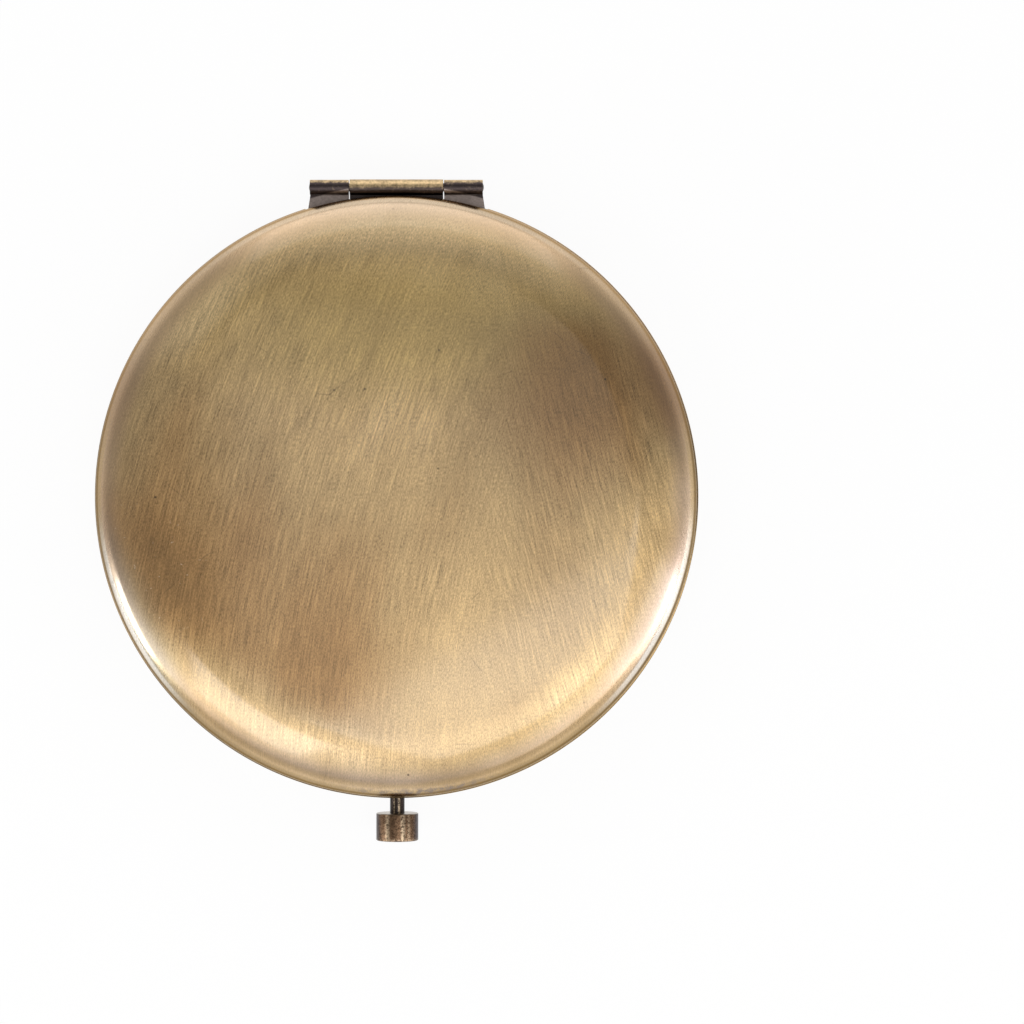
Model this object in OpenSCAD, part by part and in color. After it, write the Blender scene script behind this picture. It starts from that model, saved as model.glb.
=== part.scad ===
// Round compact mirror: two domed shells on a rolled knuckle hinge, opened by a push button.
// The origin is the middle of the face that the base rests on. The hinge is at +Y, the button at -Y.

/* [Case] */
// Outer diameter of the base at its rim
base_d = 70; // [58:0.5:82]
// How much smaller the lid's rim radius is than the base's
lid_step = 0.25; // [0.1:0.05:0.4]
// Height of the base, from the face it rests on to its rim edge
base_h = 6.8; // [5.6:0.1:8]
// Height of the lid above its own rim edge
lid_h = 7; // [6.8:0.1:8.5]
// Gap between the two rims when shut
parting_gap = 0.1; // [0.05:0.05:0.3]
// Thickness of the two pressed shells
shell_t = 0.5; // [0.35:0.05:0.6]
// Radius of curvature of both crowns
crown_r = 300; // [200:10:600]
// How far out a crown reaches, as a share of its shell's radius
crown_share = 0.782; // [0.7:0.01:0.8]
// Slope at which the flank outside the crown meets the shoulder, in degrees
flank_slope = 28; // [20:1:35]
// Radius of the shoulder between flank and rim
shoulder_r = 3.4; // [2.8:0.1:4]
// How deep the middle of the base's crown is pressed flat
rest_depth = 0.35; // [0.15:0.05:0.6]
// Rounding of the outer edge of each rim
rim_edge_r = 0.22; // [0.1:0.02:0.3]

/* [Frames and mirrors] */
// Thickness of the two frames, which also carry the hinge knuckles
frame_t = 0.4; // [0.3:0.05:0.5]
// Depth of the turned edge of each frame
skirt_h = 0.9; // [0.6:0.1:1.1]
// Clearance between a frame's turned edge and its shell
skirt_gap = 0.08; // [0.04:0.02:0.2]
// Outer radius of the bend between a frame's face and its turned edge
frame_bend_r = 0.35; // [0.2:0.05:0.4]
// Rounding of the frame's edge round the mirror
window_edge_r = 0.15; // [0.05:0.05:0.25]
// Distance from the base's rim to the edge of each mirror
mirror_margin = 6; // [5.8:0.1:7]
// Thickness of the mirror glass
mirror_t = 1.2; // [1:0.05:1.3]
// How far a frame laps over the edge of its mirror
mirror_lap = 0.4; // [0.2:0.1:1]
// Gap between the face of a mirror and its frame
mirror_gap = 0.05; // [0.02:0.01:0.1]
// Radius of curvature of the magnifying mirror in the lid
magnifier_r = 600; // [500:10:1000]
// Thickness of the adhesive pad behind each mirror
pad_t = 0.2; // [0.1:0.05:0.3]
// How far a pad stays inside the edge of its mirror
pad_margin = 1; // [0.5:0.1:3]
// Thickness of the two drawn trays
tray_t = 0.3; // [0.2:0.05:0.35]
// Clearance between the edge of a mirror and its tray
mirror_side_gap = 0.15; // [0.1:0.05:0.25]
// Width of the tray's lip behind the frame
tray_lip = 0.6; // [0.3:0.1:0.8]

/* [Hinge] */
// Length of the hinge over all three knuckles
hinge_w = 20; // [18:0.1:24]
// Length of the lid's middle knuckle
middle_knuckle_w = 10.8; // [9:0.1:12]
// Gap between neighbouring knuckles
knuckle_gap = 0.12; // [0.08:0.02:0.3]
// Diameter of the hinge pin
pin_d = 0.95; // [0.8:0.05:1.1]
// Radial clearance of the pin in the middle knuckle
pin_clearance = 0.05; // [0.02:0.01:0.08]
// How far the peened end of the pin stands out of the last knuckle
pin_proud = 0.12; // [0.05:0.01:0.2]
// How far the pin's axis lies outside the base's rim
hinge_reach = 0.77; // [0.72:0.01:1]
// How much wider the base's hinge leaves are at the rim, at each end of the hinge
leaf_flare = 0.25; // [0:0.05:0.4]
// Gap left where a rolled knuckle closes on its leaf
seam_gap = 0.12; // [0.06:0.02:0.16]

/* [Button and latch] */
// Diameter of the push knob
knob_d = 4.9; // [4:0.1:5]
// Length of the push knob
knob_l = 3.2; // [2.6:0.1:4]
// Rounding of the knob's edges
knob_edge_r = 0.14; // [0.05:0.01:0.3]
// Gap left between the knob and the base's rim when it is pressed
knob_rim_gap = 0.6; // [0.4:0.1:1.2]
// Diameter of the push rod
rod_d = 1.7; // [1.4:0.05:1.8]
// Length of the push rod inside the knob
rod_in_knob = 2; // [1.2:0.1:2.4]
// Radial clearance of the push rod in the base's wall
rod_clearance = 0.08; // [0.05:0.01:0.15]
// Travel of the push button
travel = 1.3; // [1:0.1:1.4]
// Width of the latch slide
slide_w = 5; // [4.4:0.1:6]
// Thickness of the latch slide
slide_t = 0.5; // [0.4:0.05:0.55]
// Clearance of the latch slide in its guide
slide_gap = 0.1; // [0.05:0.01:0.15]
// Width of the lid's catch
catch_w = 3; // [2.4:0.1:3.2]
// Thickness of the lid's catch
catch_t = 0.45; // [0.35:0.05:0.5]
// How far the catch's barb stands out
barb_reach = 0.65; // [0.5:0.05:0.7]
// Height of the barb's sloping nose
barb_nose_h = 0.7; // [0.5:0.05:0.9]
// Clearance of the catch in the base's slot
slot_gap = 0.25; // [0.2:0.05:0.35]
// Thickness of the latch guide
guide_t = 0.4; // [0.3:0.05:0.5]
// Outer diameter of the latch spring, as a share of the room under the base's tray
spring_share = 0.63; // [0.55:0.01:0.66]
// Wire diameter of the latch spring, as a share of its outer diameter
spring_wire_share = 0.15; // [0.12:0.01:0.17]
// Turns of the latch spring
spring_turns = 5; // [4:1:6]
// How far the pressed spring stays from lying coil on coil
spring_reserve = 1.75; // [1.4:0.05:2.4]

/* [Hidden] */
$fn = 96;
big_arc_fn = 1440;
overrun = 1;

BRASS = [0.66, 0.54, 0.36];
DARK_BRASS = [0.36, 0.31, 0.26];
BRONZE = [0.48, 0.36, 0.25];
MIRROR = [0.86, 0.88, 0.89];
PAD = [0.93, 0.93, 0.91];
STEEL = [0.62, 0.62, 0.63];

// Case
base_r = base_d / 2;
lid_r = base_r - lid_step;
lid_z = base_h + parting_gap;

// Frames, trays and mirrors, with heights measured from a rim edge into its dome
mirror_r = base_r - mirror_margin;
window_r = mirror_r - mirror_lap;
glass_y = frame_t + mirror_gap;
glue_gap = 0.02;
magnifier_sag = magnifier_r - sqrt(pow(magnifier_r, 2) - pow(mirror_r, 2));
magnifier_centre_y = glass_y + magnifier_sag - magnifier_r;
pad_steps = 8;
base_floor_y = glass_y + mirror_t + pad_t;
lid_floor_y = base_floor_y + magnifier_sag + glue_gap;
tray_in_r = mirror_r + mirror_side_gap;
tray_out_r = tray_in_r + tray_t;
tray_bend_r = tray_t;
floor_under_z = base_h - base_floor_y - tray_t;

// Hinge
pin_r = pin_d / 2;
pin_fit = 0.01;
outer_knuckle_r = pin_r + frame_t;
middle_knuckle_r = outer_knuckle_r + pin_clearance;
axis_y = base_r + hinge_reach;
axis_z = base_h - frame_t + outer_knuckle_r;
outer_knuckle_x = middle_knuckle_w / 2 + knuckle_gap;
outer_knuckle_w = hinge_w / 2 - outer_knuckle_x;
leaf_root_lap = 0.85;
leaf_root_y = tray_out_r + leaf_root_lap;
leaf_flare_y = sqrt(pow(lid_r, 2) - pow(hinge_w / 2, 2));
notch_gap = 0.35;
shell_notch_depth = max(frame_t, base_h - axis_z + middle_knuckle_r) + notch_gap;

// Catch, measured outwards from the middle of the case
barb_gap = 0.2;
barb_tip_y = tray_out_r + barb_gap;
catch_in_y = barb_tip_y + barb_reach;
catch_out_y = catch_in_y + catch_t;
catch_foot_l = 2.4;
catch_foot_w = 5;
catch_fit = 0.1;
catch_side_gap = 0.2;
catch_tip_share = 1 / 3;

// Latch slide
slide_top_z = floor_under_z - slide_gap;
slide_bottom_z = slide_top_z - slide_t;
slide_mid_z = slide_top_z - slide_t / 2;
bar_gap = 0.15;
bar_edge_y = catch_in_y - bar_gap;
bar_w = 2.25;
seat_out_y = bar_edge_y - bar_w;
seat_in_y = seat_out_y - slide_t;
seat_w = 3.2;
barb_drop = 0.08;
catch_face_z = slide_bottom_z - barb_drop;
barb_lip_h = 0.25;
catch_tip_z = catch_face_z - barb_lip_h - barb_nose_h;

// Push rod, whose plate stops against the inside of the base's wall
stop_gap = 0.25;
plate_w = slide_w;
plate_t = 0.4;
plate_drop = 0.45;
plate_rise = 0.65;
plate_bottom_z = slide_bottom_z - plate_drop;
plate_top_z = slide_top_z + plate_rise;
stop_r = dome_inside_r(base_r, base_h + rest_depth, base_h - plate_bottom_z) - stop_gap;
plate_out_y = sqrt(pow(stop_r, 2) - pow(plate_w / 2, 2));
plate_in_y = plate_out_y - plate_t;
spigot_share = 0.55;
rod_head_share = 0.9;
rod_r = rod_d / 2;
spigot_r = rod_r * spigot_share;
rod_head_r = rod_r * rod_head_share;
rod_head_t = 0.2;
knob_in_y = base_r + knob_rim_gap + travel;

// Latch guide and spring, above the inside of the base's crown
seat_floor_z = crown_r - rest_depth - sqrt(pow(crown_r - shell_t, 2) - pow(seat_out_y, 2));
spring_d = (floor_under_z - seat_floor_z) * spring_share;
spring_wire_d = spring_d * spring_wire_share;
spring_l = (spring_turns + 1) * spring_wire_d + travel + spring_reserve;
spring_r = spring_d / 2;
spring_z = floor_under_z - spring_wire_d - spring_r;
seat_bottom_z = spring_z - spring_r - slide_gap;
guide_out_y = tray_in_r - tray_bend_r - guide_t;
guide_in_y = seat_in_y - spring_l - guide_t;
guide_l = guide_out_y - guide_in_y;
guide_in_w = slide_w + 2 * slide_gap;
guide_out_w = guide_in_w + 2 * guide_t;
guide_lip = 0.8;
guide_foot = 1.6;
peg_share = 0.6;
peg_r = (spring_r - spring_wire_d) * peg_share;
peg_l = 1.8;
spring_seat_gap = 0.03;
spring_rings_per_turn = 8;
spring_sides = 6;

// Slope of a crown at its outer edge
function crown_slope(r) = asin(crown_share * r / crown_r);

// Radius of the flank, which runs smoothly from the crown to the shoulder
function flank_r(r) =
    (r - shoulder_r * (1 - sin(flank_slope)) - crown_share * r)
    / (sin(flank_slope) - sin(crown_slope(r)));

// Middle of the flank's arc, from the middle of the rim's plane
function flank_centre(r, h) =
    [0, h - crown_r] + (crown_r - flank_r(r)) * [sin(crown_slope(r)), cos(crown_slope(r))];

// How far the middle of the shoulder's arc lies above the rim edge of a dome
function dome_shoulder_y(r, h) =
    flank_centre(r, h).y + (flank_r(r) - shoulder_r) * cos(flank_slope);

// Inner radius of a dome's wall, shoulder and flank at a depth y behind its rim edge
function dome_inside_r(r, h, y) =
    let (
        shoulder_in_r = shoulder_r - shell_t,
        flank_in_r = flank_r(r) - shell_t,
        rise = max(y - dome_shoulder_y(r, h), 0)
    )
        rise < shoulder_in_r * cos(flank_slope)
            ? r - shoulder_r + sqrt(pow(shoulder_in_r, 2) - pow(rise, 2))
            : flank_centre(r, h).x
                + sqrt(pow(flank_in_r, 2) - pow(y - flank_centre(r, h).y, 2));

// Half plane towards the axis from a line through a point, at a slope from upright
module inside_of(at, slope, h) {
    foot_x = at.x - at.y * tan(slope);
    polygon([[0, 0], [foot_x, 0], [foot_x + h * tan(slope), h], [0, h]]);
}

// Half outline of a dome filled to its axis, inset by a wall, with its rim edge at y = 0
module dome_fill(r, h, inset, below) {
    shoulder_y = dome_shoulder_y(r, h);
    translate([0, -below])
        square([r - inset, max(shoulder_y, 0) + below]);
    translate([r - shoulder_r, shoulder_y])
        circle(shoulder_r - inset);
    intersection() {
        translate(flank_centre(r, h))
            circle(flank_r(r) - inset, $fn = big_arc_fn);
        inside_of(flank_centre(r, h), flank_slope, h);
    }
    intersection() {
        translate([0, h - crown_r])
            circle(crown_r - inset, $fn = big_arc_fn);
        inside_of([0, h - crown_r], crown_slope(r), h + overrun);
    }
}

// What a rounding takes off the outer corner at a point, where the stock lies to -x and +y
module corner_cut(at, r) {
    translate(at - [r, 0])
        difference() {
            translate([0, -overrun])
                square([r + overrun, r + overrun]);
            translate([0, r])
                circle(r);
        }
}

// Half section of a pressed shell, with its rim edge at y = 0
module shell_section(r, h, flat_h) {
    edge_r = min(rim_edge_r, max(dome_shoulder_y(r, h), 0));
    difference() {
        intersection() {
            dome_fill(r, h, 0, 0);
            square([r, flat_h]);
        }
        intersection() {
            dome_fill(r, h, shell_t, overrun);
            translate([0, -overrun])
                square([r, flat_h - shell_t + overrun]);
        }
        corner_cut([r, 0], edge_r);
    }
}

// Half section of a frame: flat ring, turned edge, and a rounded edge round the mirror
module frame_section(r) {
    skirt_r = r - frame_t;
    difference() {
        polygon([
            [window_r, 0], [r, 0], [r, skirt_h], [skirt_r, skirt_h], [skirt_r, frame_t],
            [window_r, frame_t]
        ]);
        corner_cut([r, 0], frame_bend_r);
        mirror([1, 0])
            corner_cut([-window_r, 0], window_edge_r);
    }
}

// Half outline of a can from one height to another, with a round bend at its closed end
module can(r, from_y, to_y, bend_r) {
    translate([0, from_y])
        square([r, to_y - bend_r - from_y]);
    translate([0, from_y])
        square([r - bend_r, to_y - from_y]);
    translate([r - bend_r, to_y - bend_r])
        circle(bend_r);
}

// Half section of a drawn tray whose floor lies at floor_y
module tray_section(floor_y) {
    difference() {
        can(tray_out_r, frame_t, floor_y + tray_t, tray_bend_r + tray_t);
        can(tray_in_r, frame_t - overrun, floor_y, tray_bend_r);
    }
}

// Ring that a tray turns out behind its frame
module tray_lip_section() {
    translate([tray_out_r - tray_t / 2, frame_t])
        square([tray_lip + tray_t / 2, tray_t]);
}

// Turns a half section into the lid, with its rim edge at the parting plane
module in_lid() {
    translate([0, 0, lid_z])
        rotate_extrude()
            children();
}

// Turns a half section into the base, with its rim edge at the parting plane
module in_base() {
    translate([0, 0, base_h])
        mirror([0, 0, 1])
            rotate_extrude()
                children();
}

// Cylinder along +Y from a point
module along_y(from, r, l) {
    translate(from)
        rotate([-90, 0, 0])
            cylinder(h = l, r = r);
}

// Cylinder along +X from a point on the hinge axis
module along_axis(x, r, l) {
    translate([x, axis_y, axis_z])
        rotate([0, 90, 0])
            cylinder(h = l, r = r);
}

// Hinge leaf from a frame to the axis, with one side flared out towards its root
module leaf(x, w, z, flare) {
    translate([0, 0, z])
        linear_extrude(frame_t)
            polygon([
                [x, leaf_root_y], [x + w + flare, leaf_root_y], [x + w + flare, leaf_flare_y],
                [x + w, axis_y - outer_knuckle_r], [x + w, axis_y], [x, axis_y]
            ]);
}

// Rolled knuckle at the end of a leaf whose top face lies at leaf_top_z
module knuckle(x, w, r, bore_r, leaf_top_z) {
    difference() {
        along_axis(x, r, w);
        along_axis(x - overrun, bore_r, w + 2 * overrun);
        translate([x - overrun, axis_y - r - overrun, leaf_top_z])
            cube([w + 2 * overrun, r + overrun - bore_r / 2, seam_gap]);
    }
}

// Cutter for a hinge notch of width w at a shell's rim, with sides that run to the shell's middle
module hinge_notch(r, w, z, h) {
    rim_y = sqrt(pow(r, 2) - pow(w / 2, 2));
    reach_share = (r + overrun) / rim_y;
    side_x = w / 2 * reach_share;
    translate([0, 0, z])
        linear_extrude(h)
            polygon([[0, 0], [side_x, r + overrun], [-side_x, r + overrun]]);
}

module base_shell() {
    notch_w = hinge_w + 2 * (leaf_flare + notch_gap);
    color(BRASS)
        difference() {
            in_base()
                shell_section(base_r, base_h + rest_depth, base_h);
            hinge_notch(base_r, notch_w, base_h - shell_notch_depth, shell_notch_depth + overrun);
            along_y([0, -base_r - overrun, slide_mid_z], rod_r + rod_clearance, shoulder_r + overrun);
        }
}

module lid_shell() {
    notch_w = middle_knuckle_w + 2 * notch_gap;
    color(BRASS)
        difference() {
            in_lid()
                shell_section(lid_r, lid_h, lid_h);
            hinge_notch(lid_r, notch_w, lid_z - overrun, frame_t + notch_gap + overrun);
        }
}

module base_frame() {
    frame_r = dome_inside_r(base_r, base_h + rest_depth, skirt_h) - skirt_gap;
    slot_w = catch_w + 2 * catch_side_gap;
    color(DARK_BRASS)
        difference() {
            union() {
                in_base()
                    frame_section(frame_r);
                for (side = [0, 1])
                    mirror([side, 0, 0]) {
                        leaf(outer_knuckle_x, outer_knuckle_w, base_h - frame_t, leaf_flare);
                        knuckle(outer_knuckle_x, outer_knuckle_w, outer_knuckle_r,
                            pin_r + pin_fit, base_h);
                    }
            }
            along_axis(-hinge_w / 2 - overrun, pin_r + pin_fit, hinge_w + 2 * overrun);
            translate([-slot_w / 2, -catch_out_y - slot_gap, base_h - frame_t - overrun])
                cube([slot_w, catch_out_y - barb_tip_y + 2 * slot_gap, frame_t + 2 * overrun]);
        }
}

module lid_frame() {
    frame_r = dome_inside_r(lid_r, lid_h, skirt_h) - skirt_gap;
    color(BRASS)
        difference() {
            union() {
                in_lid()
                    frame_section(frame_r);
                leaf(-middle_knuckle_w / 2, middle_knuckle_w, lid_z, 0);
                knuckle(-middle_knuckle_w / 2, middle_knuckle_w, middle_knuckle_r,
                    pin_r + pin_clearance, lid_z + frame_t);
            }
            along_axis(-hinge_w / 2, pin_r + pin_clearance, hinge_w);
            translate([-catch_w / 2 - catch_fit, -catch_out_y - catch_fit, lid_z - overrun])
                cube([catch_w + 2 * catch_fit, catch_t + 2 * catch_fit, frame_t + 2 * overrun]);
        }
}

module base_tray() {
    notch_w = catch_w + 2 * catch_side_gap;
    color(STEEL) {
        in_base()
            tray_section(base_floor_y);
        difference() {
            in_base()
                tray_lip_section();
            translate([-notch_w / 2, -tray_out_r - tray_lip - overrun, 0])
                cube([notch_w, tray_lip + overrun, base_h]);
        }
    }
}

module lid_tray() {
    color(STEEL)
        in_lid() {
            tray_section(lid_floor_y);
            tray_lip_section();
        }
}

module base_mirror() {
    color(MIRROR)
        in_base()
            translate([0, glass_y])
                square([mirror_r, mirror_t]);
}

// Slumped glass of even thickness, hollow towards the user
module lid_mirror() {
    color(MIRROR)
        in_lid()
            translate([0, magnifier_centre_y])
                difference() {
                    intersection() {
                        circle(magnifier_r + mirror_t, $fn = big_arc_fn);
                        translate([0, glass_y - magnifier_centre_y - overrun])
                            square([mirror_r, magnifier_sag + mirror_t + 2 * overrun]);
                    }
                    circle(magnifier_r, $fn = big_arc_fn);
                }
}

module base_mirror_pad() {
    color(PAD)
        in_base()
            translate([0, glass_y + mirror_t])
                square([mirror_r - pad_margin, pad_t]);
}

// Pad that fills the space between the bulged back of the glass and the flat tray
module lid_mirror_pad() {
    pad_r = mirror_r - pad_margin;
    back_r = magnifier_r + mirror_t + glue_gap;
    color(PAD)
        in_lid()
            polygon([
                [0, lid_floor_y],
                for (i = [0:pad_steps])
                    let (x = pad_r * i / pad_steps)
                        [x, magnifier_centre_y + sqrt(pow(back_r, 2) - pow(x, 2))],
                [pad_r, lid_floor_y]
            ]);
}

// Hook on the lid: a foot behind the frame, a tongue, and a barb that points inwards
module lid_catch() {
    foot_z = lid_z + frame_t;
    color(DARK_BRASS) {
        translate([-catch_w / 2, 0, 0])
            rotate([90, 0, 90])
                linear_extrude(catch_w)
                    polygon([
                        [-catch_out_y, foot_z + catch_t], [-catch_in_y, foot_z + catch_t],
                        [-catch_in_y, catch_face_z], [-barb_tip_y, catch_face_z],
                        [-barb_tip_y, catch_face_z - barb_lip_h],
                        [-catch_in_y - catch_t * catch_tip_share, catch_tip_z],
                        [-catch_out_y, catch_tip_z]
                    ]);
        translate([-catch_foot_w / 2, -catch_out_y - catch_foot_l, foot_z])
            cube([catch_foot_w, catch_foot_l + catch_t / 2, catch_t]);
    }
}

// Sliding plate with the window that the catch drops into, and its two turned ends
module latch_slide() {
    window_w = catch_w + 2 * catch_side_gap;
    color(STEEL)
        difference() {
            union() {
                translate([-slide_w / 2, -plate_in_y, slide_bottom_z])
                    cube([slide_w, plate_in_y - seat_in_y, slide_t]);
                translate([-seat_w / 2, -seat_out_y, seat_bottom_z])
                    cube([seat_w, slide_t, slide_top_z - seat_bottom_z]);
                translate([-plate_w / 2, -plate_out_y, plate_bottom_z])
                    cube([plate_w, plate_t, plate_top_z - plate_bottom_z]);
            }
            translate([-window_w / 2, -plate_in_y, slide_bottom_z - overrun])
                cube([window_w, plate_in_y - bar_edge_y, slide_t + 2 * overrun]);
            along_y([0, -plate_out_y - overrun, slide_mid_z], spigot_r, plate_t + 2 * overrun);
        }
}

// Channel under the base's tray that guides the slide, with a wall and peg for the spring
module latch_guide() {
    lip_z = slide_bottom_z - slide_gap - guide_t;
    color(STEEL) {
        for (side = [0, 1])
            mirror([side, 0, 0])
                translate([0, -guide_out_y, 0]) {
                    translate([guide_in_w / 2, 0, lip_z])
                        cube([guide_t, guide_l, floor_under_z - lip_z]);
                    translate([guide_in_w / 2 - guide_lip, 0, lip_z])
                        cube([guide_lip + guide_t / 2, guide_l, guide_t]);
                    translate([guide_in_w / 2, 0, floor_under_z - guide_t])
                        cube([guide_t + guide_foot, guide_l, guide_t]);
                }
        translate([-guide_out_w / 2, -guide_in_y - guide_t, seat_bottom_z])
            cube([guide_out_w, guide_t, floor_under_z - seat_bottom_z]);
        along_y([0, -guide_in_y - guide_t - peg_l, spring_z], peg_r, peg_l + guide_t / 2);
    }
}

function spring_path(turns, radius, pitch) = [
    for (i = [0:turns * spring_rings_per_turn])
        let (a = 360 * i / spring_rings_per_turn)
            [radius * cos(a), pitch * i / spring_rings_per_turn, radius * sin(a)]
];

function unit(v) = v / norm(v);

// Points of the rings of a tube of round wire along a path that winds about the Y axis
function tube_points(path, wire_r) = [
    for (i = [0:len(path) - 1])
        let (
            t = unit(path[min(i + 1, len(path) - 1)] - path[max(i - 1, 0)]),
            out = unit([path[i].x, 0, path[i].z]),
            side = unit(cross(t, out))
        )
            for (k = [0:spring_sides - 1])
                let (a = 360 * k / spring_sides)
                    path[i] + wire_r * (cos(a) * unit(cross(side, t)) + sin(a) * side)
];

function tube_faces(rings) = concat(
    [[for (k = [0:spring_sides - 1]) k]],
    [
        for (i = [0:rings - 2], k = [0:spring_sides - 1], half = [0, 1])
            let (
                here = i * spring_sides,
                next = here + spring_sides,
                k2 = (k + 1) % spring_sides
            )
                half == 0 ? [here + k, next + k, next + k2] : [here + k, next + k2, here + k2]
    ],
    [[for (k = [spring_sides - 1:-1:0]) (rings - 1) * spring_sides + k]]
);

// Coil spring between the guide's wall and the slide's turned end
module latch_spring() {
    wire_r = spring_wire_d / 2;
    room = spring_l - spring_wire_d - 2 * spring_seat_gap;
    pitch = room / spring_turns;
    path = spring_path(spring_turns, spring_r - wire_r, pitch);
    gaps = [
        for (i = [0:len(path) - 1], j = [i + spring_rings_per_turn / 2:1:len(path) - 1])
            norm(path[i] - path[j]) - spring_wire_d
    ];
    echo(least_spring_gap = min(gaps));
    color(STEEL)
        translate([0, -seat_in_y + wire_r + spring_seat_gap, spring_z])
            polyhedron(points = tube_points(path, wire_r), faces = tube_faces(len(path)));
}

// Pin with a low domed end at each side
module hinge_pin() {
    dome_r = (pow(pin_r, 2) + pow(pin_proud, 2)) / (2 * pin_proud);
    color(DARK_BRASS)
        for (side = [0, 1])
            mirror([side, 0, 0])
                translate([0, axis_y, axis_z])
                    rotate([0, 90, 0])
                        rotate_extrude() {
                            square([pin_r, hinge_w / 2]);
                            intersection() {
                                translate([0, hinge_w / 2 + pin_proud - dome_r])
                                    circle(dome_r);
                                translate([0, hinge_w / 2 - pin_proud])
                                    square([pin_r, 2 * pin_proud]);
                            }
                        }
}

// Push rod with a spigot that is riveted over inside the slide's plate
module button_shaft() {
    color(DARK_BRASS) {
        along_y([0, -knob_in_y - rod_in_knob, slide_mid_z], rod_r,
            knob_in_y + rod_in_knob - plate_out_y);
        along_y([0, -plate_out_y - rod_r, slide_mid_z], spigot_r,
            rod_r + plate_t + rod_head_t / 2);
        along_y([0, -plate_in_y, slide_mid_z], rod_head_r, rod_head_t);
    }
}

module button_knob() {
    color(BRONZE)
        translate([0, -knob_in_y, slide_mid_z])
            rotate([90, 0, 0])
                rotate_extrude()
                    difference() {
                        square([knob_d / 2, knob_l]);
                        corner_cut([knob_d / 2, 0], knob_edge_r);
                        translate([0, knob_l])
                            mirror([0, 1])
                                corner_cut([knob_d / 2, 0], knob_edge_r);
                        translate([0, -overrun])
                            square([rod_r, rod_in_knob + overrun]);
                    }
}

base_shell();
base_frame();
base_tray();
base_mirror();
base_mirror_pad();
latch_guide();
latch_spring();
hinge_pin();
lid_shell();
lid_frame();
lid_tray();
lid_mirror();
lid_mirror_pad();
lid_catch();
latch_slide();
button_shaft();
button_knob();
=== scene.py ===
import math
import bmesh
import bpy
import numpy as np
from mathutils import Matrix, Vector


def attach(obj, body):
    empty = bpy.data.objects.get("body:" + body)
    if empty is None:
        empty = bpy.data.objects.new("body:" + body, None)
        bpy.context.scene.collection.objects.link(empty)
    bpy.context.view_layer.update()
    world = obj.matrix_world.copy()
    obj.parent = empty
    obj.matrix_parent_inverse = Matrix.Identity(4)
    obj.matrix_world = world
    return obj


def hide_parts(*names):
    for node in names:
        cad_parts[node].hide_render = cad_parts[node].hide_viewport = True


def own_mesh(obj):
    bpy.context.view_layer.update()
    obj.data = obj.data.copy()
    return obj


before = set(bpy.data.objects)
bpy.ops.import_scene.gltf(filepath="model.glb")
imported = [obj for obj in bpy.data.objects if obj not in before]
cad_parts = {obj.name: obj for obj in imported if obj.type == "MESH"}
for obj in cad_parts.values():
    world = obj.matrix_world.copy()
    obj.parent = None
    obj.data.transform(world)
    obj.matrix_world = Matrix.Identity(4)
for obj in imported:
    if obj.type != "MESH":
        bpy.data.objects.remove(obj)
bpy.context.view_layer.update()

MM = 0.001

# ---- Sizes of part.scad in millimetres ----

BASE_R = 35
BASE_H = 6.8
LID_R = 34.75
LID_Z = 6.9
LID_H = 7
SHELL_T = 0.5
CROWN_R = 300
CROWN_SHARE = 0.782
FLANK_SLOPE = 28
SHOULDER_R = 3.4
REST_DEPTH = 0.35
RIM_EDGE_R = 0.22
BASE_NOTCH_W = 21.2
BASE_NOTCH_H = 0.8
LID_NOTCH_W = 11.5
LID_NOTCH_H = 0.75
ROD_Z = 4.3
ROD_HOLE_R = 0.93
KNOB_R = 2.45
KNOB_L = 3.2
KNOB_IN_Y = 36.9
KNOB_EDGE_R = 0.14
KNOB_BORE_R = 0.85
KNOB_BORE_L = 2

# ---- Detail of the meshes: edges in millimetres, counts of steps, and an angle in degrees ----

RIM_BEVEL = 0.05
KNOB_BORE_BEVEL = 0.06
HOLE_INSET = 1
HOLE_CUT_L = 8
SHELL_STEPS = 360
NOTCH_STEPS = 26
CROWN_STEPS = 40
BEND_STEPS = 30
RIM_STEPS = 6
KNOB_STEPS = 128
KNOB_EDGE_STEPS = 5
HOLE_STEPS = 96
SHARP_ANGLE = 35

# ---- Where the shells' finish changes: start and end of each change in millimetres ----

# Over the radius
RING_IN = (27.0, 30.0)
RING_OUT = (33.0, 31.0)
STROKES_FADE = (29.5, 33.3)
GRAIN_FADE = (30.0, 33.5)
BUMP_FADE = (29.5, 33.0)
SHOULDER_PALE = (31.0, 33.4)
SHOULDER_PALE_END = (34.1, 33.7)
SHOULDER_GLOSS = (31.6, 33.4)
FRONT_OLIVE = (32.6, 33.4)
FRONT_TARNISH = (33.4, 34.1)
FRONT_RIM_SHADE = (33.6, 34.2)
BARE_AND_HIGHLIGHT_RIM = (33.7, 33.95)
SIDES_RIM_SHADE = (33.8, 34.2)
LACQUER_END = (34.15, 34.45)
ABOVE_WALL = (34.5, 34.3)
# The next two: painted shade and grime on the wall, along the gap between the shells
LID_SHADE_AND_DIRT_R = (34.15, 34.42)
BASE_SHADE_AND_DIRT_R = (34.4, 34.75)
# Over the height
# The next two: heights of the painted shade and grime along the gap between the shells
LID_SHADE_AND_DIRT_Z = (10.0, 9.2)
BASE_SHADE_AND_DIRT_Z = (4.2, 5.6)
TARNISH_Z = (8.8, 9.5)
# Over Y, from the front at -35 to the hinge at 35
BACK = (2.0, 14.0)
SIDES = (12.0, -4.0)
FRONT = (-10.0, -22.0)
BACK_LESS_SHADE_AND_DIRT = (4.0, 16.0)
HINGE_DARK = (20.0, 25.0)
# Over X less Y, which is largest at the front right
FRONT_RIGHT = (35.0, 41.0)
# Middle, and half length and half width, of the patches with tarnish and with nicks
TARNISH_SPOT = ((3.5, -34.2), (13, 4))
NICKS_SPOT = ((-28, -9), (10, 14))

# ---- How strongly the shells' finish changes ----

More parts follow.
